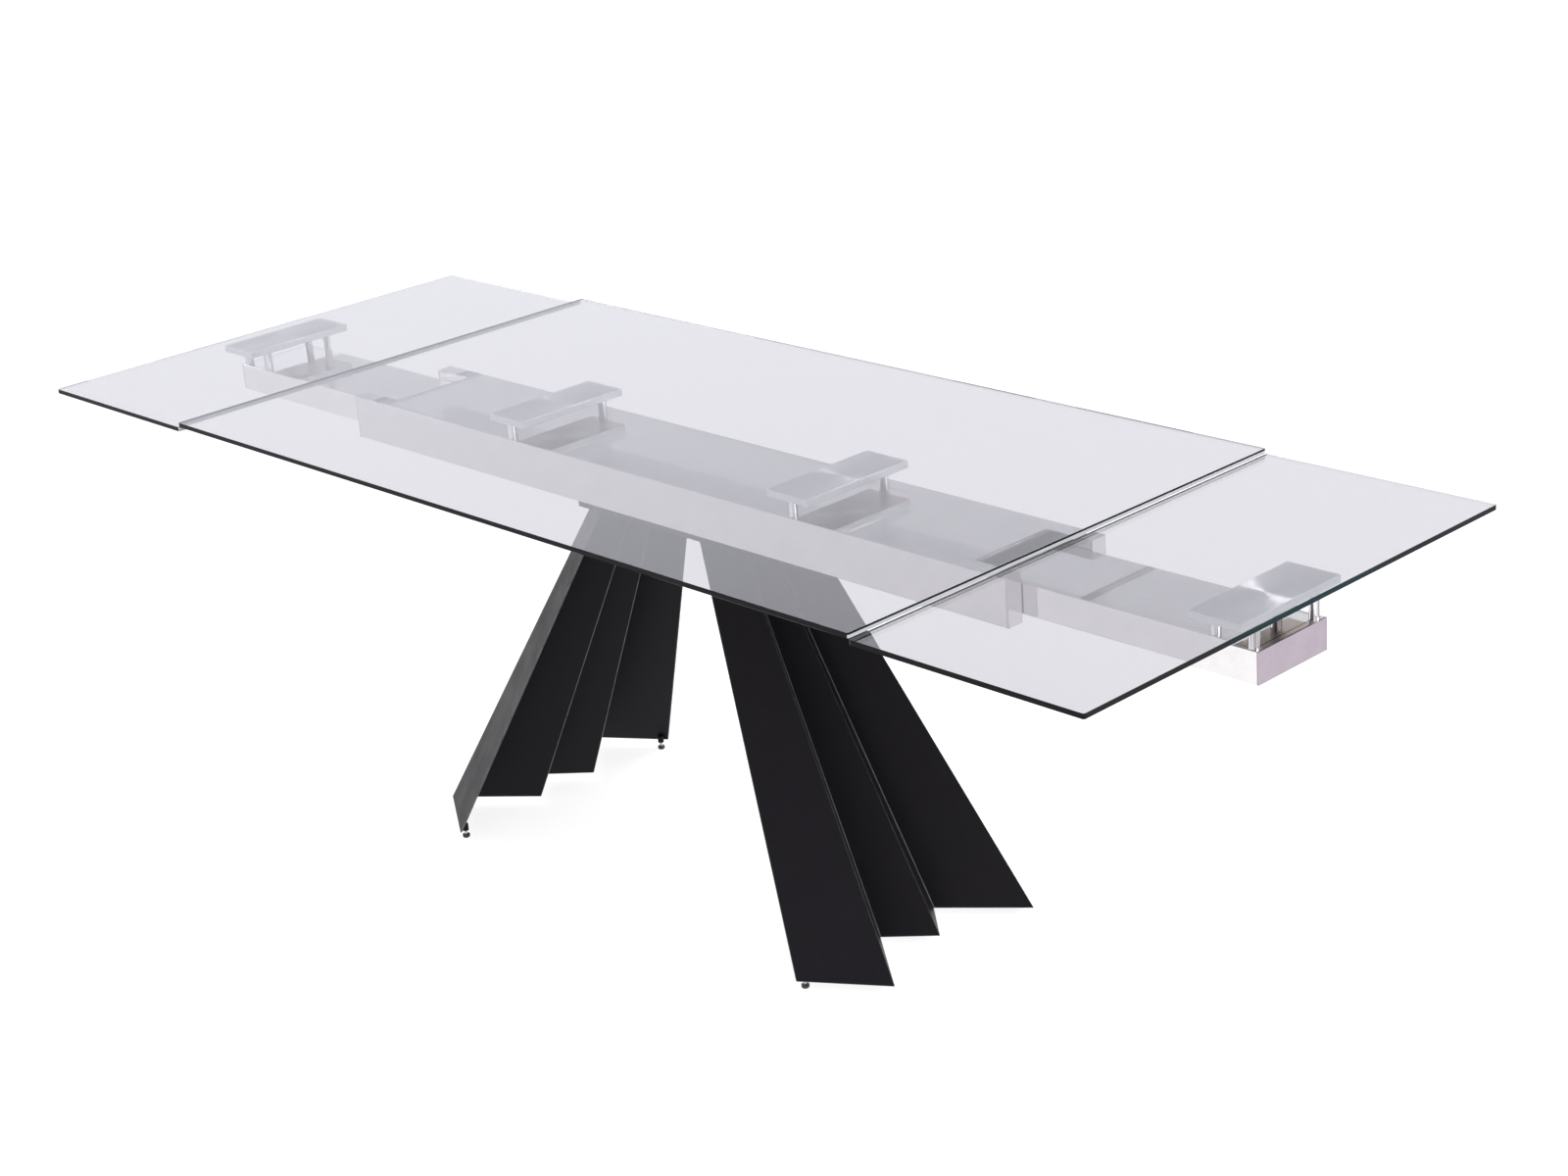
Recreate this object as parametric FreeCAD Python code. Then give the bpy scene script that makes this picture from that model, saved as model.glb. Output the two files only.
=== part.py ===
"""Extendable glass dining table on two pleated sheet-steel legs.

Millimetres. X runs along the table, Y across it and Z up. The origin is on the floor,
under the middle of the table. "Left" is the -X end and "right" the +X end.
"""
import FreeCAD
import Part
import math
import os

Vector = FreeCAD.Vector
SIDES = {"left": -1, "right": 1}
ENDS = {"front": -1, "rear": 1}

# Driving dimensions: the top
TABLE_HEIGHT = 756.0
TABLE_WIDTH = 900.0
CENTRE_LENGTH = 1600.0
LEAF_LENGTH = 400.0
GLASS = 8.0
GLASS_ARRIS = 0.6
GLASS_CORNER = 4.0
SEAM_GAP = 0.4
LEAF_DROP = GLASS + 0.4

# Glass supports
PLATE_X = 88.0
PLATE_Y = 218.0
PLATE_Z = 12.0
PLATE_EDGE = 0.6
INNER_SUPPORT_X = 335.0
OUTER_SUPPORT_X = 1133.0
POST_RADIUS = 8.0
OUTER_POST_SPAN_X = 63.0
OUTER_POST_SPAN_Y = 133.0
INNER_POST_SPAN_Y = 196.0
POST_BORE = 15.0
POST_SCREW_RADIUS = 3.0
SCREW_HEAD_RADIUS = 5.5
SCREW_HEAD = 3.2
WELD_NUT = 5.0
WELD_NUT_RADIUS = 5.8

# Beam: two side rails with a cover above and below the channel between them
BEAM_LENGTH = 1540.0
BEAM_WIDTH = 215.0
BEAM_HEIGHT = 75.4
BEAM_TOP = TABLE_HEIGHT - 45.5
CHANNEL_WIDTH = 155.0
RAIL_WALL = 2.0
RAIL_CAP = 2.0
COVER_LENGTH = 1368.0
COVER = 3.0
TOP_LIP = 6.5
FLOOR_LIP = 7.5
CROSSMEMBER = 9.0

# Extension arms, which slide in the channel
ARM_WIDTH = 152.0
ARM_HEIGHT = 48.0
ARM_TOP = TABLE_HEIGHT - 52.5 - LEAF_DROP
ARM_OUTER_X = 1178.0
ARM_INNER_X = 405.0
ARM_WALL = 2.5
ARM_CAP = 2.0
CORNER_ROUND = 1.2
RUNNING_GAP = 0.3

# Sled under each arm, and the glides
SLED_LENGTH = COVER_LENGTH / 2 - COVER - RUNNING_GAP - ARM_INNER_X
SLED_WIDTH = 120.0
SLED_PLATE = 6.0
RUNNER_WIDTH = 16.0
GLIDE_LENGTH = 60.0
GLIDE_WIDTH = 90.0
UPPER_GLIDE = 3.6
SIDE_GLIDE = 1.2
SIDE_GLIDE_HEIGHT = 40.0

# Base: top plate, legs and feet
BASE_PLATE_LENGTH = 334.0
BASE_PLATE = 8.0
SHEET = 3.0
LEG_BOTTOM = 15.0
LEG_APEX_X = 94.7
LEG_TOP_SCALE = 0.415
LEG_PLEATS = [(419.0, 244.0), (548.0, 161.0), (422.0, 62.0), (493.0, 0.0)]
LEG_TOP = BEAM_TOP - BEAM_HEIGHT - BASE_PLATE
BOLT_X = 60.0
BOLT_RADIUS = 4.0
BOLT_LENGTH = 16.0
BOLT_HEAD_RADIUS = 7.0
BOLT_HEAD = 4.4
INSERT_RADIUS = 6.5
INSERT_LENGTH = 12.0
HEX_KEY = 2.9
BOSS_RADIUS = 5.5
BOSS_HEIGHT = 12.0
BOSS_CHAMFER = 1.5
BOSS_EDGE_OFFSET = 12.0
BOSS_SHEET_OFFSET = 2.0
FOOT_PAD_RADIUS = 6.5
FOOT_PAD = 6.5
FOOT_PAD_ROUND = 3.0
FOOT_PAD_CHAMFER = 0.8
FOOT_STUD_RADIUS = 3.0
FOOT_STUD_HIDDEN = 8.0
FOOT_THREAD_GAP = 0.1
BORE_EXTRA = 2.0
BOLT_CLEARANCE = 0.5
SOCKET_DEPTH = 0.6
PLUG_DEPTH = 12.0
PLUG_WALL = 3.0
CUT_PAST = 1.0
FOOT_NAMES = {"front_left": (-1, -1), "front_right": (1, -1), "rear_left": (-1, 1), "rear_right": (1, 1)}

BEAM_BOTTOM = BEAM_TOP - BEAM_HEIGHT
ARM_BOTTOM = ARM_TOP - ARM_HEIGHT
GLASS_BOTTOM = TABLE_HEIGHT - GLASS
RAIL_WIDTH = (BEAM_WIDTH - CHANNEL_WIDTH) / 2
RAIL_CENTRE_Y = (BEAM_WIDTH + CHANNEL_WIDTH) / 4
CHANNEL_FLOOR = BEAM_BOTTOM + COVER
CHANNEL_ROOF = BEAM_TOP - COVER


def save(name, shape):
    """Writes one node's solids to its own STEP file."""
    shape.exportStep("parts/" + name + ".step")


def block(x0, x1, y0, y1, z0, z1):
    """A box between two corners, given in either order along X."""
    low = min(x0, x1)
    return Part.makeBox(abs(x1 - x0), y1 - y0, z1 - z0, Vector(low, y0, z0))


def rod(radius, x, y, z0, z1):
    """An upright cylinder from z0 to z1."""
    return Part.makeCylinder(radius, z1 - z0, Vector(x, y, z0))


def rounded(solid, radius, wanted):
    """Fillets the straight edges that wanted() picks by their two end points."""
    edges = [e for e in solid.Edges if len(e.Vertexes) == 2 and wanted(*[v.Point for v in e.Vertexes])]
    return solid.makeFillet(radius, edges)


def upright(a, b):
    return abs(a.x - b.x) + abs(a.y - b.y) < 0.01


def lengthwise(a, b):
    return abs(a.y - b.y) + abs(a.z - b.z) < 0.01


def glass_panel(x0, x1, top):
    """A pane with rounded corners and a fine polished arris all round."""
    pane = block(x0, x1, -TABLE_WIDTH / 2, TABLE_WIDTH / 2, top - GLASS, top)
    pane = rounded(pane, GLASS_CORNER, upright)
    rims = [e for face in pane.Faces if abs(face.normalAt(0, 0).z) > 0.9 for e in face.Edges]
    return pane.makeChamfer(GLASS_ARRIS, rims)


def support_plate(x, top):
    """The brushed plate that is bonded to the underside of a pane."""
    plate = block(x - PLATE_X / 2, x + PLATE_X / 2, -PLATE_Y / 2, PLATE_Y / 2, top - PLATE_Z, top)
    return plate.makeChamfer(PLATE_EDGE, plate.Edges)


def hexagon(x, y, z, radius, height):
    """A six-sided prism standing on the level z."""
    corners = [Vector(x + radius * math.cos(k * math.pi / 3), y + radius * math.sin(k * math.pi / 3), z)
               for k in range(7)]
    return Part.Face(Part.makePolygon(corners)).extrude(Vector(0, 0, height))


def outer_post_places(side):
    """Four posts under each leaf's plate, in a rectangle."""
    x = side * OUTER_SUPPORT_X
    return [(x + i * OUTER_POST_SPAN_X / 2, j * OUTER_POST_SPAN_Y / 2) for i in (-1, 1) for j in (-1, 1)]


def inner_post_places(side):
    """Two posts under each of the centre pane's plates, one on each rail."""
    return [(side * INNER_SUPPORT_X, j * INNER_POST_SPAN_Y / 2) for j in (-1, 1)]


def posts(places, low, high):
    """Turned posts, each with a blind thread in its lower end."""
    made = []
    for x, y in places:
        bore = rod(POST_SCREW_RADIUS, x, y, low - CUT_PAST, low + POST_BORE)
        made.append(rod(POST_RADIUS, x, y, low, high).cut(bore))
    return Part.makeCompound(made)


def cap_screw(x, y, seat, radius, length, head_radius, head):
    """A button-head screw pointing up, with its head under the level called seat."""
    screw = rod(radius, x, y, seat, seat + length).fuse(rod(head_radius, x, y, seat - head, seat))
    return screw.cut(hexagon(x, y, seat - head, HEX_KEY, head * SOCKET_DEPTH))


def outer_post_screws(side):
    """Screws that hold the outer posts from inside the arm."""
    seat = ARM_TOP - ARM_WALL
    length = ARM_WALL + POST_BORE - BORE_EXTRA
    return Part.makeCompound([cap_screw(x, y, seat, POST_SCREW_RADIUS, length, SCREW_HEAD_RADIUS, SCREW_HEAD)
                              for x, y in outer_post_places(side)])


def inner_post_studs(side):
    """Headless studs from the inner posts down into the rails' weld nuts."""
    low = BEAM_TOP - RAIL_WALL - WELD_NUT
    return Part.makeCompound([rod(POST_SCREW_RADIUS, x, y, low, BEAM_TOP + POST_BORE - BORE_EXTRA)
                              for x, y in inner_post_places(side)])


def weld_nuts(side):
    """Nuts welded inside the rails, under the inner posts."""
    low = BEAM_TOP - RAIL_WALL - WELD_NUT
    made = []
    for x, y in inner_post_places(side):
        nut = hexagon(x, y, low, WELD_NUT_RADIUS, WELD_NUT)
        made.append(nut.cut(rod(POST_SCREW_RADIUS, x, y, low - CUT_PAST, low + WELD_NUT + CUT_PAST)))
    return Part.makeCompound(made)


def rail(end):
    """One box-section side rail, open at both ends for its caps."""
    half = BEAM_LENGTH / 2 - RAIL_CAP
    inner_y = end * CHANNEL_WIDTH / 2
    outer_y = end * BEAM_WIDTH / 2
    y0, y1 = sorted((inner_y, outer_y))
    tube = rounded(block(-half, half, y0, y1, BEAM_BOTTOM, BEAM_TOP), CORNER_ROUND, lengthwise)
    hollow = block(-half, half, y0 + RAIL_WALL, y1 - RAIL_WALL, BEAM_BOTTOM + RAIL_WALL, BEAM_TOP - RAIL_WALL)
    tube = tube.cut(hollow)
    for x in (-BOLT_X, BOLT_X):
        tube = tube.cut(rod(INSERT_RADIUS, x, end * RAIL_CENTRE_Y, BEAM_BOTTOM - CUT_PAST,
                            BEAM_BOTTOM + RAIL_WALL + CUT_PAST))
    for side in SIDES.values():
        for x, y in inner_post_places(side):
            hole = rod(POST_SCREW_RADIUS, x, y, BEAM_TOP - RAIL_WALL - CUT_PAST, BEAM_TOP + CUT_PAST)
            tube = tube.cut(hole)
    return tube


def rail_caps(end):
    """The two plates welded over a rail's ends."""
    y0, y1 = sorted((end * CHANNEL_WIDTH / 2, end * BEAM_WIDTH / 2))
    half = BEAM_LENGTH / 2
    caps = [block(s * half, s * (half - RAIL_CAP), y0, y1, BEAM_BOTTOM, BEAM_TOP) for s in (-1, 1)]
    return Part.makeCompound([rounded(cap, CORNER_ROUND, lengthwise) for cap in caps])


def cover(level, inward):
    """A flat cover that closes the channel between the rails."""
    half = COVER_LENGTH / 2
    wide = CHANNEL_WIDTH / 2
    z0, z1 = sorted((level, level + inward * COVER))
    return block(-half, half, -wide, wide, z0, z1)


def cover_lips(level, inward, lip):
    """The strips welded across the channel under, or over, each end of a cover."""
    half = COVER_LENGTH / 2
    wide = CHANNEL_WIDTH / 2
    z0, z1 = sorted((level + inward * COVER, level + inward * lip))
    return Part.makeCompound([block(s * half, s * (half - COVER), -wide, wide, z0, z1) for s in (-1, 1)])


def crossmember():
    """The web at mid-length that ties the rails together and stops both arms."""
    thick = CROSSMEMBER / 2
    wide = CHANNEL_WIDTH / 2
    return block(-thick, thick, -wide, wide, CHANNEL_FLOOR, CHANNEL_ROOF)


def side_glides(side):
    """Thin strips on the rails' inner faces that centre the arm at the mouth."""
    outer = COVER_LENGTH / 2 - COVER
    middle = (CHANNEL_FLOOR + CHANNEL_ROOF) / 2
    made = []
    for end in (-1, 1):
        y0, y1 = sorted((end * CHANNEL_WIDTH / 2, end * (CHANNEL_WIDTH / 2 - SIDE_GLIDE)))
        made.append(block(side * (outer - GLIDE_LENGTH), side * outer, y0, y1, middle - SIDE_GLIDE_HEIGHT / 2,
                          middle + SIDE_GLIDE_HEIGHT / 2))
    return Part.makeCompound(made)


def arm_tube(side):
    """The polished box tube that carries a leaf, with holes under its top for the post screws."""
    wide = ARM_WIDTH / 2
    outer = side * (ARM_OUTER_X - ARM_CAP)
    inner = side * ARM_INNER_X
    tube = rounded(block(inner, outer, -wide, wide, ARM_BOTTOM, ARM_TOP), CORNER_ROUND, lengthwise)
    hollow = block(inner, outer, -wide + ARM_WALL, wide - ARM_WALL, ARM_BOTTOM + ARM_WALL, ARM_TOP - ARM_WALL)
    tube = tube.cut(hollow)
    for x, y in outer_post_places(side):
        tube = tube.cut(rod(POST_SCREW_RADIUS, x, y, ARM_TOP - ARM_WALL - CUT_PAST, ARM_TOP + CUT_PAST))
    return tube


def arm_cap(side):
    wide = ARM_WIDTH / 2
    outer = side * ARM_OUTER_X
    cap = block(outer - side * ARM_CAP, outer, -wide, wide, ARM_BOTTOM, ARM_TOP)
    return rounded(cap, CORNER_ROUND, lengthwise)


def arm_plug(side):
    """The moulded plug that closes the arm's hidden end."""
    wide = ARM_WIDTH / 2 - ARM_WALL
    x = side * ARM_INNER_X
    low = ARM_BOTTOM + ARM_WALL
    high = ARM_TOP - ARM_WALL
    plug = block(x, x + side * PLUG_DEPTH, -wide, wide, low, high)
    return plug.cut(block(x + side * PLUG_WALL, x + side * PLUG_DEPTH, -wide + PLUG_WALL, wide - PLUG_WALL,
                          low + PLUG_WALL, high - PLUG_WALL))


def upper_glide(side):
    """The pad on top of the arm's hidden end, which holds the arm down under the cover."""
    x = side * ARM_INNER_X
    pad = block(x, x + side * GLIDE_LENGTH, -GLIDE_WIDTH / 2, GLIDE_WIDTH / 2, ARM_TOP, ARM_TOP + UPPER_GLIDE)
    return pad


def sled_plate(side):
    """The plate that the lowered arm rests on. The floor's lip stops it when the arm is fully out."""
    x = side * ARM_INNER_X
    top = ARM_BOTTOM - RUNNING_GAP
    wide = SLED_WIDTH / 2
    return block(x, x + side * SLED_LENGTH, -wide, wide, top - SLED_PLATE, top)


def sled_runners(side):
    """Two slippery strips under the sled."""
    x = side * ARM_INNER_X
    top = ARM_BOTTOM - RUNNING_GAP - SLED_PLATE
    wide = SLED_WIDTH / 2
    made = [block(x, x + side * SLED_LENGTH, *sorted((end * wide, end * (wide - RUNNER_WIDTH))),
                  CHANNEL_FLOOR + RUNNING_GAP, top) for end in (-1, 1)]
    return Part.makeCompound(made)


def base_plate():
    """The black plate between the legs and the beam."""
    half = BASE_PLATE_LENGTH / 2
    plate = block(-half, half, -BEAM_WIDTH / 2, BEAM_WIDTH / 2, LEG_TOP, BEAM_BOTTOM)
    for x in (-BOLT_X, BOLT_X):
        for end in (-1, 1):
            plate = plate.cut(rod(BOLT_RADIUS + BOLT_CLEARANCE, x, end * RAIL_CENTRE_Y, LEG_TOP - CUT_PAST,
                                  BEAM_BOTTOM + CUT_PAST))
    return plate


def bolt_places():
    return [(x, end * RAIL_CENTRE_Y) for x in (-BOLT_X, BOLT_X) for end in (-1, 1)]


def mount_bolts():
    return Part.makeCompound([cap_screw(x, y, LEG_TOP, BOLT_RADIUS, BOLT_LENGTH, BOLT_HEAD_RADIUS, BOLT_HEAD)
                              for x, y in bolt_places()])


def thread_inserts():
    """Threaded inserts pressed into the rails' lower walls."""
    made = []
    for x, y in bolt_places():
        insert = rod(INSERT_RADIUS, x, y, BEAM_BOTTOM, BEAM_BOTTOM + INSERT_LENGTH)
        bore = rod(BOLT_RADIUS, x, y, BEAM_BOTTOM - CUT_PAST, BEAM_BOTTOM + INSERT_LENGTH + CUT_PAST)
        made.append(insert.cut(bore))
    return Part.makeCompound(made)


def pleat_line(side):
    """Plan points of a leg's lower edge from its front free edge to its rear one."""
    front = [Vector(side * x, -y, LEG_BOTTOM) for x, y in LEG_PLEATS]
    rear = [Vector(side * x, y, LEG_BOTTOM) for x, y in reversed(LEG_PLEATS[:-1])]
    return front + rear


def leg_apex(side):
    """The point that all of a leg's bend lines aim at."""
    return Vector(-side * LEG_APEX_X, 0, LEG_BOTTOM + (LEG_TOP - LEG_BOTTOM) / (1 - LEG_TOP_SCALE))


def plane_meet(planes):
    """The point shared by three planes, each a unit normal and its distance from the origin."""
    (a, da), (b, db), (c, dc) = planes
    cross = b.cross(c) * da + c.cross(a) * db + a.cross(b) * dc
    return cross * (1 / a.dot(b.cross(c)))


def leg_skin(side, offset):
    """Lower and upper points of the pleated surface, moved along the facets' normals by offset."""
    line = pleat_line(side)
    apex = leg_apex(side)
    facets = []
    for a, b in zip(line, line[1:]):
        normal = (b - a).cross(apex - a).normalize()
        facets.append((normal, normal.dot(a) + offset))
    first_edge = facets[0][0].cross(apex - line[0]).normalize()
    last_edge = facets[-1][0].cross(apex - line[-1]).normalize()
    bounds = [(first_edge, first_edge.dot(line[0]))] + facets + [(last_edge, last_edge.dot(line[-1]))]
    rows = []
    for level in (LEG_BOTTOM, LEG_TOP):
        flat = (Vector(0, 0, 1), level)
        rows.append([plane_meet((p, q, flat)) for p, q in zip(bounds, bounds[1:])])
    return rows


def flat_face(points):
    return Part.Face(Part.makePolygon(points + [points[0]]))


def leg_panel(side):
    """One leg: a single sheet folded into six facets that narrow towards the top."""
    low_a, high_a = leg_skin(side, -SHEET / 2)
    low_b, high_b = leg_skin(side, SHEET / 2)
    faces = []
    for low, high in ((low_a, high_a), (low_b, high_b)):
        for i in range(len(low) - 1):
            faces.append(flat_face([low[i], low[i + 1], high[i + 1], high[i]]))
    for i in (0, -1):
        faces.append(flat_face([low_a[i], high_a[i], high_b[i], low_b[i]]))
    for a, b in ((low_a, low_b), (high_a, high_b)):
        faces.append(flat_face(a + b[::-1]))
    solid = Part.makeSolid(Part.makeShell(faces))
    if solid.Volume < 0:
        solid.reverse()
    return solid


def foot_place(side, end):
    """Centre of a foot: beside the sheet's free edge, against its inner face."""
    line = pleat_line(side)
    edge, bend = (line[0], line[1]) if end < 0 else (line[-1], line[-2])
    along = (bend - edge).normalize()
    inner = Vector(-along.y, along.x, 0)
    if inner.y * end > 0:
        inner = inner * -1
    return edge + along * BOSS_EDGE_OFFSET + inner * (SHEET / 2 + BOSS_RADIUS + BOSS_SHEET_OFFSET)


def foot_bosses(side):
    """The two threaded bosses welded to a leg, trimmed to the leaning sheet."""
    made = []
    low = LEG_BOTTOM - CUT_PAST
    high = LEG_BOTTOM + BOSS_HEIGHT
    for end in (-1, 1):
        p = foot_place(side, end)
        boss = rod(BOSS_RADIUS, p.x, p.y, low, high)
        boss = boss.makeChamfer(BOSS_CHAMFER, [e for e in boss.Edges if abs(e.CenterOfMass.z - high) < 0.01])
        boss = boss.cut(rod(FOOT_STUD_RADIUS + FOOT_THREAD_GAP, p.x, p.y, low - CUT_PAST,
                            LEG_BOTTOM + FOOT_STUD_HIDDEN + CUT_PAST))
        trimmed = boss.cut(leg_panel(side))
        made.append(max(trimmed.Solids, key=lambda piece: piece.Volume))
    return Part.makeCompound(made)


def foot_stud(side, end):
    """The threaded stud between the pad and its boss."""
    p = foot_place(side, end)
    return rod(FOOT_STUD_RADIUS, p.x, p.y, FOOT_PAD, LEG_BOTTOM + FOOT_STUD_HIDDEN)


def foot_pad(side, end):
    """The moulded pad, rounded below."""
    p = foot_place(side, end)
    pad = rod(FOOT_PAD_RADIUS, p.x, p.y, 0, FOOT_PAD)
    rims = [e for e in pad.Edges if len(e.Vertexes) == 1]
    pad = pad.makeFillet(FOOT_PAD_ROUND, [e for e in rims if e.CenterOfMass.z < 0.01])
    top_rim = [e for e in pad.Edges if abs(e.CenterOfMass.z - FOOT_PAD) < 0.01]
    return pad.makeChamfer(FOOT_PAD_CHAMFER, top_rim)


def build_top():
    half = CENTRE_LENGTH / 2
    save("centre_glass", glass_panel(-half, half, TABLE_HEIGHT))
    for name, side in SIDES.items():
        inner = side * (half + SEAM_GAP)
        outer = side * (half + LEAF_LENGTH)
        leaf_top = TABLE_HEIGHT - LEAF_DROP
        save(name + "_leaf_glass", glass_panel(inner, outer, leaf_top))
        save(name + "_outer_plate", support_plate(side * OUTER_SUPPORT_X, leaf_top - GLASS))
        save(name + "_outer_posts", posts(outer_post_places(side), ARM_TOP, leaf_top - GLASS - PLATE_Z))
        save(name + "_outer_post_screws", outer_post_screws(side))
        save(name + "_inner_plate", support_plate(side * INNER_SUPPORT_X, GLASS_BOTTOM))
        save(name + "_inner_posts", posts(inner_post_places(side), BEAM_TOP, GLASS_BOTTOM - PLATE_Z))
        save(name + "_inner_post_studs", inner_post_studs(side))
        save(name + "_inner_weld_nuts", weld_nuts(side))


def build_beam():
    for name, end in ENDS.items():
        save(name + "_rail", rail(end))
        save(name + "_rail_end_caps", rail_caps(end))
    save("beam_top_cover", cover(BEAM_TOP, -1))
    save("top_cover_lips", cover_lips(BEAM_TOP, -1, TOP_LIP))
    save("beam_bottom_cover", cover(BEAM_BOTTOM, 1))
    save("bottom_cover_lips", cover_lips(BEAM_BOTTOM, 1, FLOOR_LIP))
    save("centre_crossmember", crossmember())
    for name, side in SIDES.items():
        save(name + "_side_glides", side_glides(side))


def build_arms():
    for name, side in SIDES.items():
        save(name + "_arm_tube", arm_tube(side))
        save(name + "_arm_end_cap", arm_cap(side))
        save(name + "_arm_inner_plug", arm_plug(side))
        save(name + "_arm_upper_glide", upper_glide(side))
        save(name + "_sled_plate", sled_plate(side))
        save(name + "_sled_runners", sled_runners(side))


def build_base():
    save("base_top_plate", base_plate())
    save("beam_mount_bolts", mount_bolts())
    save("beam_thread_inserts", thread_inserts())
    for name, side in SIDES.items():
        save(name + "_leg_panel", leg_panel(side))
        save(name + "_foot_bosses", foot_bosses(side))
    for name, (side, end) in FOOT_NAMES.items():
        save(name + "_foot_stud", foot_stud(side, end))
        save(name + "_foot_pad", foot_pad(side, end))


os.makedirs("parts", exist_ok=True)
build_top()
build_beam()
build_arms()
build_base()
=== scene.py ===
import math

import bmesh
import bpy
from mathutils import Matrix, Vector


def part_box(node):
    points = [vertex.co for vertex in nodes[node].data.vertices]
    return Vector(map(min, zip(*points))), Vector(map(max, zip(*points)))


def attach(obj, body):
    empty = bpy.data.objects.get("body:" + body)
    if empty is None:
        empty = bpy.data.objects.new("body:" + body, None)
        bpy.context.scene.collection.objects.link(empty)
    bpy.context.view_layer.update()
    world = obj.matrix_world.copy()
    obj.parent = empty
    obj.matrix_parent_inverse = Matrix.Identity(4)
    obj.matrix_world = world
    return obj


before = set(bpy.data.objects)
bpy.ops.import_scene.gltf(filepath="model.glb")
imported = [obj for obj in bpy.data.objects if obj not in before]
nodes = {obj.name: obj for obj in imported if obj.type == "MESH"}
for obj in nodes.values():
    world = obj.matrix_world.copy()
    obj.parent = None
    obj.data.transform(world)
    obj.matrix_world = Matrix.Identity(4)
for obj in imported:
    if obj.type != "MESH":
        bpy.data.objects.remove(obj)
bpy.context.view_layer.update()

SIDES = ("left", "right")
FEET = ("front_left", "front_right", "rear_left", "rear_right")

# Camera: where it stands and how it is turned, in metres and degrees
CAMERA_PLACE = Vector((3.2153, -2.7745, 2.1212))
CAMERA_HEADING = 137.428
CAMERA_DIP = 21.128
CAMERA_ROLL = -4.431
CAMERA_LENS = 63.785
SENSOR_WIDTH = 36.0

# Floor
FLOOR_SIZE = 60.0
FLOOR_COLOUR = (0.25, 0.25, 0.25, 1)
FLOOR_ROUGHNESS = 0.9
FLOOR_GLOW = 0.86
FLOOR_GLOW_COLOUR = (1, 1, 1, 1)

# Sky: its colour, and its brighter parts, each a direction, the cosines of the angle from it at which
# the part begins and is full, and a colour
SKY_COLOUR = (1.0, 0.992, 1.02, 1)
SKY_STRENGTH = 1.0
OVERHEAD = ((0.0, 0.3, 1.0), 0.55, 0.92, (1.9, 1.95, 1.98, 1))
FAR_SIDE = ((-0.686, 0.631, 0.36), 0.6, 0.95, (1.30, 1.32, 1.42, 1))

# Softboxes: name, place, the point that it faces, width in metres and power in watts
SOFTBOXES = (
    ("back_softbox", (0.9, 1.8, 3.1), (0.5, 0, 0.75), 1.1, 60.0),
    ("leg_softbox", (4.4, 0.6, 2.3), (0.4, 0, 0.3), 1.5, 80.0),
    ("left_softbox", (-3.2, -1.2, 2.0), (-0.4, 0, 0.4), 1.6, 30.0),
)

# The middle of a noise's range, which grain() spreads over the range that a finish needs
NOISE_LOW = 0.3
NOISE_HIGH = 0.7
# A face isn't level while its normal's Z is under the first, and it faces an axis above the second
RIM_SLOPE = 0.9
LEVEL_SLOPE = 0.5

# Glass
GLASS_TINT = (0.508, 0.494, 0.518, 1)
GLASS_INDEX = 1.5
SMUDGE_ROUGHNESS = 0.012
# The rim colours are painted shade: near black, and teal near the middle in Y, over RIM_MIDDLE
RIM_SHADE_COLOUR = (0.009, 0.009, 0.0105, 1)
RIM_MIDDLE_SHADE_COLOUR = (0.006, 0.020, 0.024, 1)
RIM_MIDDLE = (0.10, 0.20)
RIM_GLOSS = 0.06
GROUND_COLOUR = (0.46, 0.475, 0.49, 1)
# The ground seam faces above the lip: painted shade
GROUND_LIP_SHADE_COLOUR = (0.006, 0.007, 0.008, 1)
GROUND_GLOSS = 0.04
GRIND_SCALE = (60.0, 60.0, 900.0)
# The seams lie nearer to the middle than this
SEAM_REACH = 1.0
# Height of the painted shade line at the top of the centre pane's seam faces
SEAM_SHADE_LINE = 0.0028
# How much painted shade an outer rim face keeps when it is seen through the pane
CENTRE_INNER_RIM_SHADE = 0.5
LEAF_INNER_RIM_SHADE = 0.0

# Polished steel: the tints of its upright, level, folded and end faces, painted reflection tones with
# painted shade on the darker folds and ends, and how far haze dims them
SIDE_REFLECTION_TINT = (0.675, 0.650, 0.662)
ARM_REFLECTION_TINT = (0.765, 0.742, 0.75)
TOP_REFLECTION_TINT = (0.86, 0.872, 0.83)
FOLD_SHADE_TINT = (0.42, 0.38, 0.40)
END_SHADE_TINT = (0.385, 0.333, 0.38)
HAZE_DIM = 0.92
HAZE_EDGES = (0.40, 0.60)
WAVE_STRETCH = (1.0, 1.0, 1.6)
WAVE_HEIGHT = 0.004
ROLLING_STRETCH = (6.0, 6.0, 900.0)
ROLLING_HEIGHT = 0.00002

# Brushed plates
BRUSH_ANISOTROPY = 0.97
BRUSH_RINGS = 2200.0
BRUSH_TURNS = 2.0
BRUSH_HEIGHT = 0.00003
BRUSH_DARK = (0.93, 0.96, 0.94, 1)
BRUSH_LIGHT = (1.0, 1.0, 0.975, 1)
# Plate edges and undersides are darker than the brushed top: painted shade.
PLATE_EDGE_SHADE_COLOUR = (0.60, 0.63, 0.64, 1)
PLATE_UNDERSIDE_SHADE_COLOUR = (0.40, 0.355, 0.35, 1)

# Chromed posts: turning marks across them, and light and dark streaks along them, which are drawn
# lines and partly painted reflection
TURNED_STRETCH = (40.0, 40.0, 3500.0)
TURNED_HEIGHT = 0.00001
DRAWN_AND_REFLECTION_STRETCH = (230.0, 230.0, 3.0)
CHROME_DARK = (0.30, 0.28, 0.30, 1)
CHROME_LIGHT = (0.78, 0.77, 0.79, 1)
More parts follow.
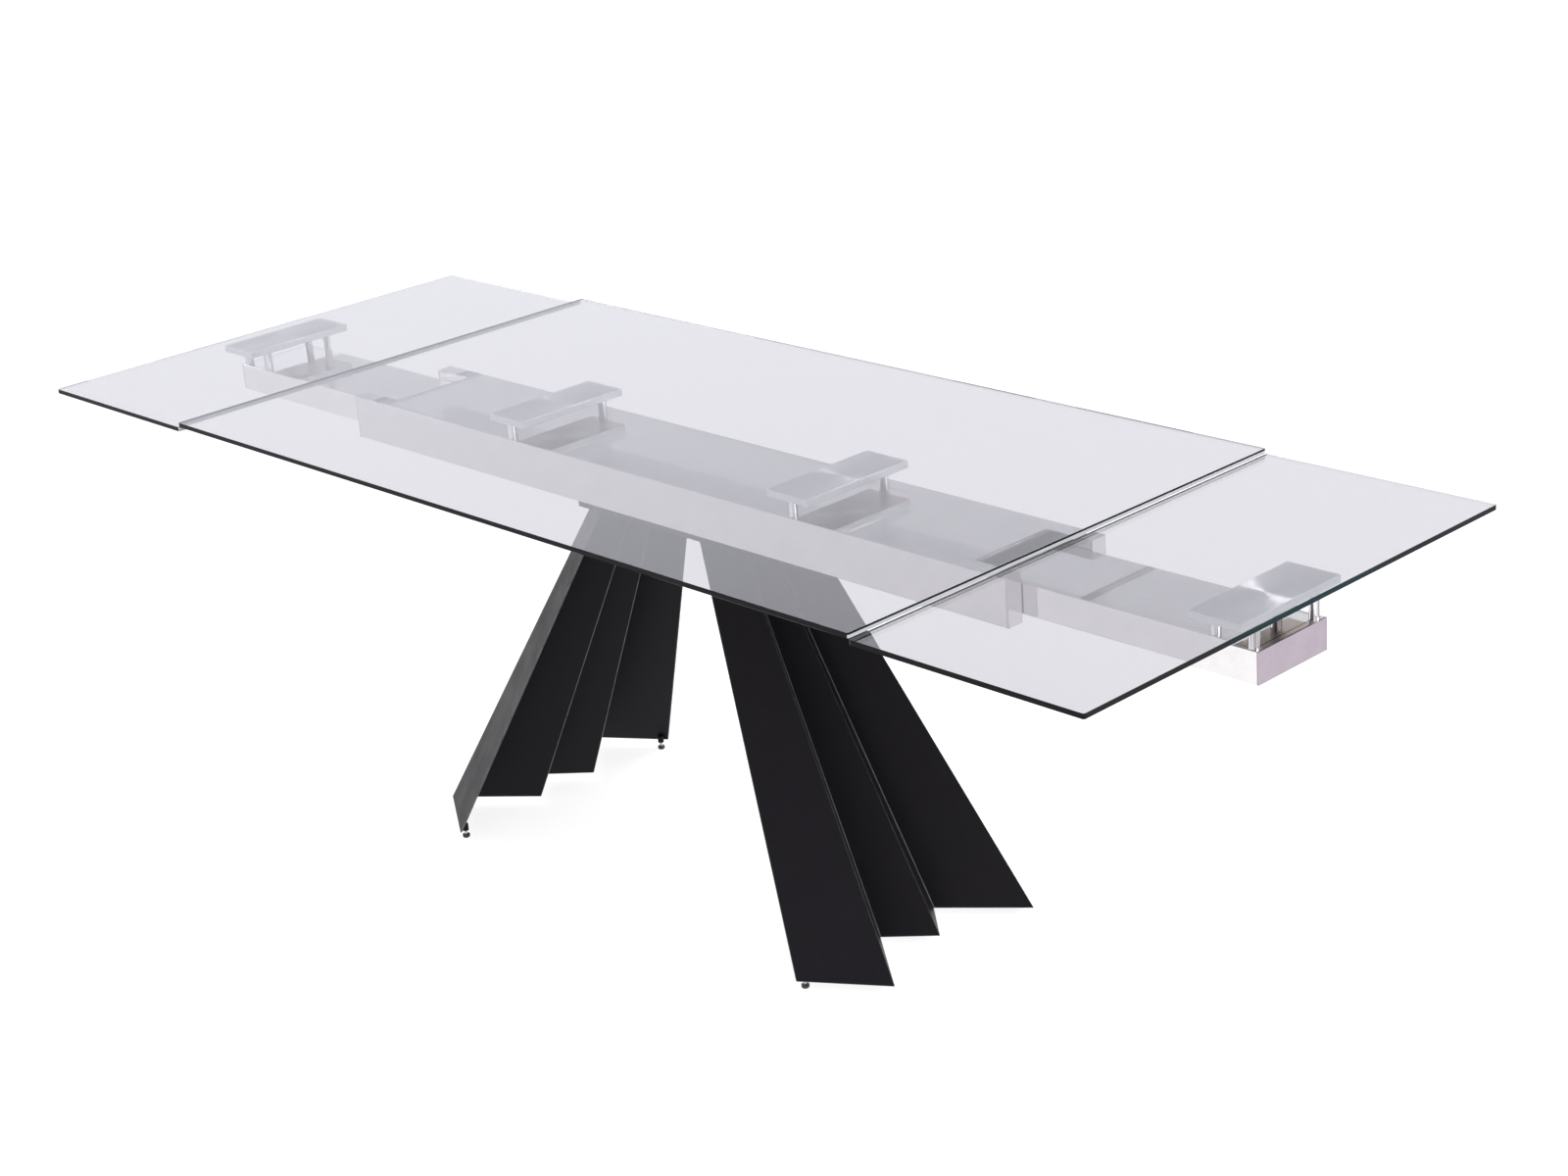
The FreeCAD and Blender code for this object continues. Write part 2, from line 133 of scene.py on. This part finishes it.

# Powder coat, and the lighter, glossier coat over a bend or a cut edge, which is a painted highlight
COAT_GLOSS = 0.085
COAT_GLOSS_TINT = (1.0, 0.92, 0.97, 1)
COAT_DARK = (0.0070, 0.0066, 0.0083, 1)
COAT_LIGHT = (0.0105, 0.0098, 0.0120, 1)
COAT_GRAIN_HEIGHT = 0.0001
COAT_PEEL_HEIGHT = 0.0002
EDGE_HIGHLIGHT_GLOSS = 0.5
EDGE_HIGHLIGHT_STRETCH = (1.0, 1.0, 0.4)
EDGE_HIGHLIGHT_DARK = (0.035, 0.034, 0.038, 1)
EDGE_HIGHLIGHT_LIGHT = (0.105, 0.10, 0.108, 1)

# Zinc plate and mouldings
ZINC_DARK = (0.42, 0.42, 0.43, 1)
ZINC_LIGHT = (0.58, 0.58, 0.59, 1)
BLACK_PLASTIC = ((0.012, 0.012, 0.013, 1), (0.025, 0.025, 0.027, 1), 0.35)
WHITE_PLASTIC = ((0.78, 0.78, 0.75, 1), (0.86, 0.86, 0.84, 1), 0.4)
SPECK_HEIGHT = 0.00008
SPECK_ROUGHNESS = 0.12

# Rounded edges: their widths, and the angle in degrees from which an edge is sharp
LEG_EDGE = 0.00145
STEEL_EDGE = 0.0006
PLATE_EDGE = 0.0005
SHARP_ANGLE = 30
EDGE_SEGMENTS = 2
JOIN_DISTANCE = 1e-6
# Air left between a plate and the glass above it, so that the two faces don't coincide
BOND_GAP = 0.0001

# Weld beads under the base plate, along the leg edges that are longer than the sheet is thick
WELD_RADIUS = 0.0018
WELD_STEP = 0.0016
WELD_SIDES = 8
WELD_SWELL = 0.15
WELD_LEAST_STEPS = 4
SHEET_EDGE = 0.006
EDGE_LEVEL_GAP = 0.00016

# The feet's M6 threads
THREAD_PITCH = 0.001
THREAD_HEIGHT = 0.0005
THREAD_STEPS = 20
THREAD_FLANK = 0.35
THREAD_CREST = 0.25
THREAD_LEAST = 0.000025


# ---------------------------------------------------------------- materials

class Shader:
    """A material with short helpers for adding nodes."""

    def __init__(self, name):
        self.material = bpy.data.materials.new(name)
        self.material.use_nodes = True
        self.tree = self.material.node_tree
        self.surface = self.tree.nodes["Principled BSDF"]

    def set(self, **values):
        for name, value in values.items():
            self.surface.inputs[name.replace("_", " ")].default_value = value
        return self

    def node(self, kind, **settings):
        made = self.tree.nodes.new(kind)
        for name, value in settings.items():
            setattr(made, name, value)
        return made

    def link(self, source, target):
        self.tree.links.new(source, target)

    def wire(self, name, source):
        self.link(source, self.surface.inputs[name])

    def math(self, operation, a, b=0.0):
        made = self.node("ShaderNodeMath", operation=operation)
        for socket, value in zip(made.inputs, (a, b)):
            if isinstance(value, bpy.types.NodeSocket):
                self.link(value, socket)
            else:
                socket.default_value = value
        return made.outputs[0]

    def size_of(self, value):
        """A number without its sign."""
        return self.math("ABSOLUTE", value)

    def place(self):
        """The point in the CAD frame at rest, which rides with the node's body."""
        return self.node("ShaderNodeTexCoord").outputs["Object"]

    def facing(self):
        """The way the surface faces at rest, as X, Y and Z."""
        return self.split(self.node("ShaderNodeTexCoord").outputs["Normal"])

    def split(self, vector):
        made = self.node("ShaderNodeSeparateXYZ")
        self.link(vector, made.inputs[0])
        return made.outputs

    def scaled(self, vector, scale):
        made = self.node("ShaderNodeVectorMath", operation="MULTIPLY")
        self.link(vector, made.inputs[0])
        made.inputs[1].default_value = scale
        return made.outputs[0]

    def noise(self, vector, scale=1.0, detail=3.0, roughness=0.5):
        made = self.node("ShaderNodeTexNoise")
        self.link(vector, made.inputs["Vector"])
        made.inputs["Scale"].default_value = scale
        made.inputs["Detail"].default_value = detail
        made.inputs["Roughness"].default_value = roughness
        return made.outputs["Fac"]

    def spread(self, value, low, high, to_low=0.0, to_high=1.0):
        """Maps low..high to to_low..to_high and holds the ends."""
        made = self.node("ShaderNodeMapRange")
        self.link(value, made.inputs["Value"])
        for name, number in (("From Min", low), ("From Max", high),
                             ("To Min", to_low), ("To Max", to_high)):
            made.inputs[name].default_value = number
        return made.outputs["Result"]

    def grain(self, noise, to_low, to_high):
        """Maps the middle of a noise's range to to_low..to_high."""
        return self.spread(noise, NOISE_LOW, NOISE_HIGH, to_low, to_high)

    def blend(self, share, a, b):
        """A colour between a and b."""
        made = self.node("ShaderNodeMix", data_type="RGBA")
        self.link(share, made.inputs["Factor"])
        for socket, colour in ((made.inputs[6], a), (made.inputs[7], b)):
            if isinstance(colour, bpy.types.NodeSocket):
                self.link(colour, socket)
            else:
                socket.default_value = colour
        return made.outputs[2]

    def mixed(self, share, first, second):
        """One surface shader laid over another."""
        made = self.node("ShaderNodeMixShader")
        self.link(share, made.inputs[0])
        self.link(first, made.inputs[1])
        self.link(second, made.inputs[2])
        return made.outputs[0]

    def bump(self, height, distance, strength, below=None):
        made = self.node("ShaderNodeBump")
        made.inputs["Strength"].default_value = strength
        made.inputs["Distance"].default_value = distance
        self.link(height, made.inputs["Height"])
        if below is not None:
            self.link(below, made.inputs["Normal"])
        return made.outputs["Normal"]


def glass_face(s, gloss, colour, roughness):
    """A second surface shader, for the faces of a pane's rim."""
    face = s.node("ShaderNodeBsdfPrincipled")
    face.inputs["Specular IOR Level"].default_value = gloss
    s.link(colour, face.inputs["Base Color"])
    s.link(roughness, face.inputs["Roughness"])
    return face.outputs[0]


def clear_glass(name, lip_level, inner_rim_shade):
    """Clear, with a polished rim in painted shade, and ground seam faces with painted shade above a
    level and from within.
    """
    s = Shader("clear_" + name).set(Transmission_Weight=1.0, IOR=GLASS_INDEX, Base_Color=GLASS_TINT)
    place = s.place()
    x, y, z = s.split(place)
    facing = s.facing()
    smudge = s.noise(place, scale=3.0, detail=4.0, roughness=0.6)
    s.wire("Roughness", s.spread(smudge, 0.5, 0.75, 0.0, SMUDGE_ROUGHNESS))

    # Upright rim faces get the painted rim shade: in full from outside, by the pane's inner share
    # from within; the seam faces get it from within only.
    upright = s.math("LESS_THAN", s.size_of(facing["Z"]), RIM_SLOPE)
    endwise = s.math("GREATER_THAN", s.size_of(facing["X"]), LEVEL_SLOPE)
    seam = s.math("MULTIPLY", endwise, s.math("LESS_THAN", s.size_of(x), SEAM_REACH))
    inside = s.node("ShaderNodeNewGeometry").outputs["Backfacing"]
    seen_share = s.spread(inside, 0.0, 1.0, 1.0, inner_rim_shade)
    outer_share = s.math("MULTIPLY", s.math("SUBTRACT", 1.0, seam), seen_share)
    rim_shade_share = s.math("ADD", outer_share, s.math("MULTIPLY", seam, inside))
    grind = s.noise(s.scaled(place, GRIND_SCALE))

    middle = s.spread(s.size_of(y), *RIM_MIDDLE, 1.0, 0.0)
    rim_shade_colour = s.blend(middle, RIM_SHADE_COLOUR, RIM_MIDDLE_SHADE_COLOUR)
    rim = glass_face(s, RIM_GLOSS, rim_shade_colour, s.grain(grind, 0.06, 0.16))
    # Above lip_level the ground seam faces take a painted shade line.
    lip = s.math("GREATER_THAN", z, lip_level)
    ground_colour = s.blend(lip, GROUND_COLOUR, GROUND_LIP_SHADE_COLOUR)
    ground = glass_face(s, GROUND_GLOSS, ground_colour, s.grain(grind, 0.25, 0.40))

    rimmed = s.mixed(s.math("MULTIPLY", upright, rim_shade_share), s.surface.outputs[0], rim)
    outside = s.math("SUBTRACT", 1.0, inside)
    seam_outside = s.math("MULTIPLY", s.math("MULTIPLY", upright, seam), outside)
    whole = s.mixed(seam_outside, rimmed, ground)
    s.link(whole, s.tree.nodes["Material Output"].inputs["Surface"])
    return s.material


def polished_steel(name, side_painted_tone, top_painted_tone):
    """Mirror-polished sheet, a little wavy, with separate tints for its upright and level faces:
    painted reflection tones.
    """
    s = Shader(name).set(Metallic=1.0)
    place = s.place()
    haze = s.spread(s.noise(place, scale=20.0, detail=9.0, roughness=0.82), *HAZE_EDGES)
    sides, tops = (s.blend(haze, (*(v * HAZE_DIM for v in tint), 1), (*tint, 1))
                   for tint in (side_painted_tone, top_painted_tone))
    # Level faces take the top tint, the rest the side tint: painted reflection tones.
    s.wire("Base Color", s.blend(s.math("GREATER_THAN", s.facing()["Z"], LEVEL_SLOPE), sides, tops))
    s.wire("Roughness", s.spread(haze, 0.0, 1.0, 0.025, 0.075))
    wave = s.noise(s.scaled(place, WAVE_STRETCH), scale=7.0, detail=1.0)
    lines = s.noise(s.scaled(place, ROLLING_STRETCH), detail=2.0)
    s.wire("Normal", s.bump(lines, ROLLING_HEIGHT, 0.5, below=s.bump(wave, WAVE_HEIGHT, 0.08)))
    return s.material


def brushed_plate(name, low, high):
    """Steel brushed in circles about the plate's centre, with painted shade on its edges and
    underside.
    """
    s = Shader("brushed_circles_" + name).set(Metallic=1.0, Anisotropic=BRUSH_ANISOTROPY)
    from_centre = s.node("ShaderNodeVectorMath", operation="SUBTRACT")
    s.link(s.place(), from_centre.inputs[0])
    from_centre.inputs[1].default_value = (low + high) / 2
    x, y, _ = s.split(from_centre.outputs[0])
    radius = s.math("SQRT", s.math("ADD", s.math("MULTIPLY", x, x), s.math("MULTIPLY", y, y)))
    rings = s.node("ShaderNodeCombineXYZ")
    s.link(s.math("MULTIPLY", radius, BRUSH_RINGS), rings.inputs["X"])
    s.link(s.math("MULTIPLY", s.math("ARCTAN2", y, x), BRUSH_TURNS), rings.inputs["Y"])
    scratch = s.noise(rings.outputs[0], roughness=0.6)

    slope = s.facing()["Z"]
    upright = s.math("LESS_THAN", s.size_of(slope), LEVEL_SLOPE)
    under = s.math("LESS_THAN", slope, -LEVEL_SLOPE)
    # Edges and underside take darker colours: painted shade.
    brushed_with_edge_shade = s.blend(upright, s.blend(scratch, BRUSH_DARK, BRUSH_LIGHT), PLATE_EDGE_SHADE_COLOUR)
    s.wire("Base Color", s.blend(under, brushed_with_edge_shade, PLATE_UNDERSIDE_SHADE_COLOUR))
    s.wire("Roughness", s.grain(scratch, 0.32, 0.42))
    s.wire("Normal", s.bump(scratch, BRUSH_HEIGHT, 0.6))

    outward = s.node("ShaderNodeCombineXYZ")
    s.link(x, outward.inputs["X"])
    s.link(y, outward.inputs["Y"])
    unit = s.node("ShaderNodeVectorMath", operation="NORMALIZE")
    s.link(outward.outputs[0], unit.inputs[0])
    s.wire("Tangent", unit.outputs[0])
    return s.material


def chromed():
    s = Shader("chromed").set(Metallic=1.0)
    place = s.place()
    turned = s.noise(s.scaled(place, TURNED_STRETCH), detail=2.0)
    drawn_and_reflection_streaks = s.noise(s.scaled(place, DRAWN_AND_REFLECTION_STRETCH), detail=1.0)
    # The light and dark streaks along each post are drawn lines and partly painted reflection.
    s.wire("Base Color", s.blend(s.spread(drawn_and_reflection_streaks, 0.35, 0.6), CHROME_DARK, CHROME_LIGHT))
    s.wire("Roughness", s.grain(turned, 0.05, 0.11))
    s.wire("Normal", s.bump(turned, TURNED_HEIGHT, 0.5))
    return s.material


def powder_coat():
    s = Shader("powder_coat").set(Specular_IOR_Level=COAT_GLOSS, Specular_Tint=COAT_GLOSS_TINT)
    place = s.place()
    cloud = s.noise(place, scale=14.0, detail=4.0, roughness=0.6)
    s.wire("Base Color", s.blend(cloud, COAT_DARK, COAT_LIGHT))
    s.wire("Roughness", s.grain(cloud, 0.40, 0.50))
    peel = s.bump(s.noise(place, scale=260.0, detail=2.0), COAT_PEEL_HEIGHT, 0.25)
    grain = s.noise(place, scale=1600.0, detail=2.0)
    s.wire("Normal", s.bump(grain, COAT_GRAIN_HEIGHT, 0.35, below=peel))
    return s.material


def edge_highlight_coat():
    """The powder coat over a bend or a cut edge, lighter and glossier: a painted highlight."""
    s = Shader("edge_highlight_coat").set(Specular_IOR_Level=EDGE_HIGHLIGHT_GLOSS)
    highlight_grain = s.noise(s.scaled(s.place(), EDGE_HIGHLIGHT_STRETCH), scale=90.0, detail=4.0, roughness=0.6)
    # Much lighter than the coat: painted highlight.
    s.wire("Base Color", s.blend(s.spread(highlight_grain, 0.35, 0.7), EDGE_HIGHLIGHT_DARK, EDGE_HIGHLIGHT_LIGHT))
    s.wire("Roughness", s.grain(highlight_grain, 0.30, 0.42))
    return s.material


def zinc_plate():
    s = Shader("zinc_plate").set(Metallic=1.0)
    spangle = s.noise(s.place(), scale=120.0)
    s.wire("Base Color", s.blend(spangle, ZINC_DARK, ZINC_LIGHT))
    s.wire("Roughness", s.grain(spangle, 0.25, 0.42))
    return s.material


def moulded(name, rim_shade_share, light, roughness):
    s = Shader(name)
    speck = s.noise(s.place(), scale=700.0)
    s.wire("Base Color", s.blend(speck, rim_shade_share, light))
    s.wire("Roughness", s.grain(speck, roughness, roughness + SPECK_ROUGHNESS))
    s.wire("Normal", s.bump(speck, SPECK_HEIGHT, 0.4))
    return s.material


def floor_paint():
    """A pale floor that is lit a little from below, so that it stays white under the table."""
    s = Shader("floor_paint").set(Specular_IOR_Level=0.0, Roughness=FLOOR_ROUGHNESS)
    s.set(Base_Color=FLOOR_COLOUR, Emission_Color=FLOOR_GLOW_COLOUR, Emission_Strength=FLOOR_GLOW)
    return s.material


# ---------------------------------------------------------------- stage

def make_floor():
    mesh = bpy.data.meshes.new("floor")
    half = FLOOR_SIZE / 2
    corners = [(-half, -half, 0), (half, -half, 0), (half, half, 0), (-half, half, 0)]
    mesh.from_pydata(corners, [], [(0, 1, 2, 3)])
    floor = bpy.data.objects.new("floor", mesh)
    bpy.context.scene.collection.objects.link(floor)
    mesh.materials.append(floor_paint())


def toward(tree, direction, place, low, high):
    """1 where the sky's direction is close to place, and 0 away from it."""
    facing = tree.nodes.new("ShaderNodeVectorMath")
    facing.operation = "DOT_PRODUCT"
    tree.links.new(direction, facing.inputs[0])
    facing.inputs[1].default_value = Vector(place).normalized()
    ramp = tree.nodes.new("ShaderNodeMapRange")
    ramp.interpolation_type = "SMOOTHSTEP"
    tree.links.new(facing.outputs["Value"], ramp.inputs["Value"])
    ramp.inputs["From Min"].default_value = low
    ramp.inputs["From Max"].default_value = high
    return ramp.outputs["Result"]


def make_sky():
    """A white tent, brighter overhead and on the far side."""
    world = bpy.data.worlds.new("studio")
    world.use_nodes = True
    tree = world.node_tree
    direction = tree.nodes.new("ShaderNodeTexCoord").outputs["Generated"]
    sky = tree.nodes["Background"]
    colour = None
    for place, low, high, side_colour in (OVERHEAD, FAR_SIDE):
        mix = tree.nodes.new("ShaderNodeMix")
        mix.data_type = "RGBA"
        mix.clamp_result = False
        tree.links.new(toward(tree, direction, place, low, high), mix.inputs["Factor"])
        if colour is None:
            mix.inputs[6].default_value = SKY_COLOUR
        else:
            tree.links.new(colour, mix.inputs[6])
        mix.inputs[7].default_value = side_colour
        colour = mix.outputs[2]
    tree.links.new(colour, sky.inputs["Color"])
    sky.inputs["Strength"].default_value = SKY_STRENGTH
    bpy.context.scene.world = world
    bpy.context.scene.view_settings.view_transform = "Standard"


def make_softbox(name, place, aim, size, power):
    """A square area light that faces a point."""
    data = bpy.data.lights.new(name, "AREA")
    data.shape = "SQUARE"
    data.size = size
    data.energy = power
    light = bpy.data.objects.new(name, data)
    bpy.context.scene.collection.objects.link(light)
    light.location = place
    light.rotation_euler = (Vector(aim) - Vector(place)).to_track_quat("-Z", "Y").to_euler()


def make_camera():
    heading, dip, roll = (math.radians(a) for a in (CAMERA_HEADING, CAMERA_DIP, CAMERA_ROLL))
    reach = math.cos(dip)
    forward = Vector((math.cos(heading) * reach, math.sin(heading) * reach, -math.sin(dip)))
    level = forward.cross(Vector((0, 0, 1))).normalized()
    up = level.cross(forward)
    right = math.cos(roll) * level + math.sin(roll) * up
    top = -math.sin(roll) * level + math.cos(roll) * up
    data = bpy.data.cameras.new("camera")
    data.lens = CAMERA_LENS
    data.sensor_width = SENSOR_WIDTH
    camera = bpy.data.objects.new("camera", data)
    bpy.context.scene.collection.objects.link(camera)
    turned = Matrix((right, top, -forward)).transposed().to_4x4()
    camera.matrix_world = Matrix.Translation(CAMERA_PLACE) @ turned
    bpy.context.scene.camera = camera


# ---------------------------------------------------------------- finishes

def dress(material, *names):
    for name in names:
        slots = nodes[name].data.materials
        slots.clear()
        slots.append(material)


def join(name):
    """Joins the faces of a CAD node, which arrive with separate corners, into one skin."""
    weld = nodes[name].modifiers.new("joined_faces", "WELD")
    weld.merge_threshold = JOIN_DISTANCE


def flatten(name):
    """Keeps a CAD node's large faces flat in shading after a modifier has moved them."""
    weigh = nodes[name].modifiers.new("flat_faces", "WEIGHTED_NORMAL")
    weigh.keep_sharp = True


def soften(name, width, edge_material=None, clamp=True):
    """Rounds a CAD node's sharp edges a little, so that they catch the light."""
    join(name)
    bevel = nodes[name].modifiers.new("soft_edges", "BEVEL")
    bevel.width = width
    bevel.segments = EDGE_SEGMENTS
    bevel.limit_method = "ANGLE"
    bevel.angle_limit = math.radians(SHARP_ANGLE)
    bevel.use_clamp_overlap = clamp
    if edge_material is not None:
        nodes[name].data.materials.append(edge_material)
        bevel.material = 1
    flatten(name)


def shrink(name, gap):
    """Draws a CAD node's faces in by a hair."""
    pull = nodes[name].modifiers.new("hair_gap", "DISPLACE")
    pull.strength = -gap
    pull.mid_level = 0.0
    flatten(name)


def of_sides(*parts):
    return [side + "_" + part for side in SIDES for part in parts]


def of_feet(part):
    return [foot + "_" + part for foot in FEET]


def dress_glass():
    centre_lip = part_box("centre_glass")[1][2] - SEAM_SHADE_LINE
    leaf_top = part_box("left_leaf_glass")[1][2]
    dress(clear_glass("centre_pane", centre_lip, CENTRE_INNER_RIM_SHADE), "centre_glass")
    dress(clear_glass("leaf_pane", leaf_top, LEAF_INNER_RIM_SHADE), *of_sides("leaf_glass"))


def dress_steel():
    """Beam, arms, plates and posts, with rounded folds, whose darker steel is painted shade."""
    beam = ("front_rail", "rear_rail", "front_rail_end_caps", "rear_rail_end_caps",
            "beam_top_cover", "beam_bottom_cover")
    steel = polished_steel("polished_steel", SIDE_REFLECTION_TINT, TOP_REFLECTION_TINT)
    dress(steel, *beam, "top_cover_lips", "bottom_cover_lips")
    dress(polished_steel("polished_arm", ARM_REFLECTION_TINT, TOP_REFLECTION_TINT), *of_sides("arm_tube"))
    # The end caps' darker steel is painted shade.
    dress(polished_steel("polished_end_shade", END_SHADE_TINT, END_SHADE_TINT), *of_sides("arm_end_cap"))
    dress(chromed(), *of_sides("inner_posts", "outer_posts"))
    fold_shade = polished_steel("polished_fold_shade", FOLD_SHADE_TINT, FOLD_SHADE_TINT)
    for name in (*of_sides("arm_tube", "arm_end_cap"), *beam):
        soften(name, STEEL_EDGE, edge_material=fold_shade, clamp=False)
    for name in of_sides("inner_plate", "outer_plate"):
        dress(brushed_plate(name, *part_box(name)), name)
        soften(name, PLATE_EDGE)
        shrink(name, BOND_GAP)


def dress_base():
    """The black base with its painted edge highlights and weld beads, and the feet with their
    threads.
    """
    coat = powder_coat()
    edge_highlight = edge_highlight_coat()
    zinc = zinc_plate()
    dress(coat, "base_top_plate", "beam_mount_bolts", *of_sides("leg_panel", "foot_bosses"))
    dress(zinc, "centre_crossmember", "beam_thread_inserts", *of_feet("foot_stud"),
          *of_sides("sled_plate", "inner_post_studs", "inner_weld_nuts", "outer_post_screws"))
    for name in of_sides("leg_panel"):
        soften(name, LEG_EDGE, edge_material=edge_highlight)
    for side in SIDES:
        leg_welds(side, coat)
    for foot in FEET:
        foot_thread(foot, zinc)


def dress_plastic():
    dress(moulded("black_plastic", *BLACK_PLASTIC), *of_sides("arm_inner_plug"), *of_feet("foot_pad"))
    dress(moulded("white_glide", *WHITE_PLASTIC),
          *of_sides("side_glides", "arm_upper_glide", "sled_runners"))


# ---------------------------------------------------------------- added pieces

def new_piece(name, mesh_maker, body, material):
    """Builds one piece from a bmesh, smooth-shaded, riding on a body."""
    built = bmesh.new()
    mesh_maker(built)
    bmesh.ops.recalc_face_normals(built, faces=built.faces)
    mesh = bpy.data.meshes.new(name)
    built.to_mesh(mesh)
    built.free()
    for polygon in mesh.polygons:
        polygon.use_smooth = True
    piece = bpy.data.objects.new(name, mesh)
    bpy.context.scene.collection.objects.link(piece)
    mesh.materials.append(material)
    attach(piece, body)


def tube_ring(built, rings):
    """Skins a closed tube through rings of points, and caps its ends."""
    rows = [[built.verts.new(p) for p in ring] for ring in rings]
    count = len(rows[0])
    for a, b in zip(rows, rows[1:]):
        for i in range(count):
            built.faces.new((a[i], a[(i + 1) % count], b[(i + 1) % count], b[i]))
    built.faces.new(rows[0][::-1])
    built.faces.new(rows[-1])


def bead(built, start, end, radius):
    """A weld bead: a thin tube from start to end that swells at every ripple."""
    along = end - start
    steps = max(WELD_LEAST_STEPS, int(along.length / WELD_STEP))
    side = along.normalized().cross(Vector((0, 0, 1))).normalized()
    rise = side.cross(along.normalized())
    turns = [i * math.tau / WELD_SIDES for i in range(WELD_SIDES)]
    rings = []
    for k in range(steps + 1):
        swell = radius * (1 - WELD_SWELL + WELD_SWELL * math.cos(k * math.pi))
        middle = start.lerp(end, k / steps)
        rings.append([middle + swell * (math.cos(a) * side + math.sin(a) * rise) for a in turns])
    tube_ring(built, rings)


def leg_welds(side, material):
    """Beads along both faces of a leg's top edge, where it meets the base plate."""
    panel = nodes[side + "_leg_panel"].data
    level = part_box(side + "_leg_panel")[1][2] - EDGE_LEVEL_GAP
    corners = [v.co for v in panel.vertices]
    pairs = [(corners[a], corners[b]) for a, b in (e.vertices for e in panel.edges)]
    edges = [(a, b) for a, b in pairs if min(a.z, b.z) > level and (a - b).length > SHEET_EDGE]
    drop = Vector((0, 0, WELD_RADIUS / 2))

    def build(built):
        for a, b in edges:
            bead(built, a - drop, b - drop, WELD_RADIUS)

    new_piece(side + "_leg_weld", build, "base", material)


def foot_thread(foot, material):
    """The thread on a foot's stud: a helical ridge that fades at both ends."""
    low, high = (Vector(c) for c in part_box(foot + "_foot_stud"))
    centre = (low + high) / 2
    radius = (high.x - low.x) / 2
    turns = (high.z - low.z - 2 * THREAD_PITCH) / THREAD_PITCH
    count = int(turns * THREAD_STEPS)
    flank = Vector((0, 0, THREAD_PITCH * THREAD_FLANK))

    def build(built):
        rings = []
        for k in range(count + 1):
            angle = k * math.tau / THREAD_STEPS
            out = Vector((math.cos(angle), math.sin(angle), 0))
            middle = Vector((centre.x, centre.y, low.z + THREAD_PITCH * (1 + k / THREAD_STEPS)))
            fade = min(1.0, k / THREAD_STEPS, (count - k) / THREAD_STEPS)
            height = THREAD_HEIGHT * fade + THREAD_LEAST
            root = middle + out * (radius - THREAD_HEIGHT)
            crest = middle + out * (radius + height * THREAD_CREST)
            rings.append([root - flank, crest, root + flank])
        tube_ring(built, rings)

    new_piece(foot + "_foot_thread", build, foot + "_foot", material)


make_camera()
make_floor()
make_sky()
for softbox in SOFTBOXES:
    make_softbox(*softbox)
dress_glass()
dress_steel()
dress_plastic()
dress_base()
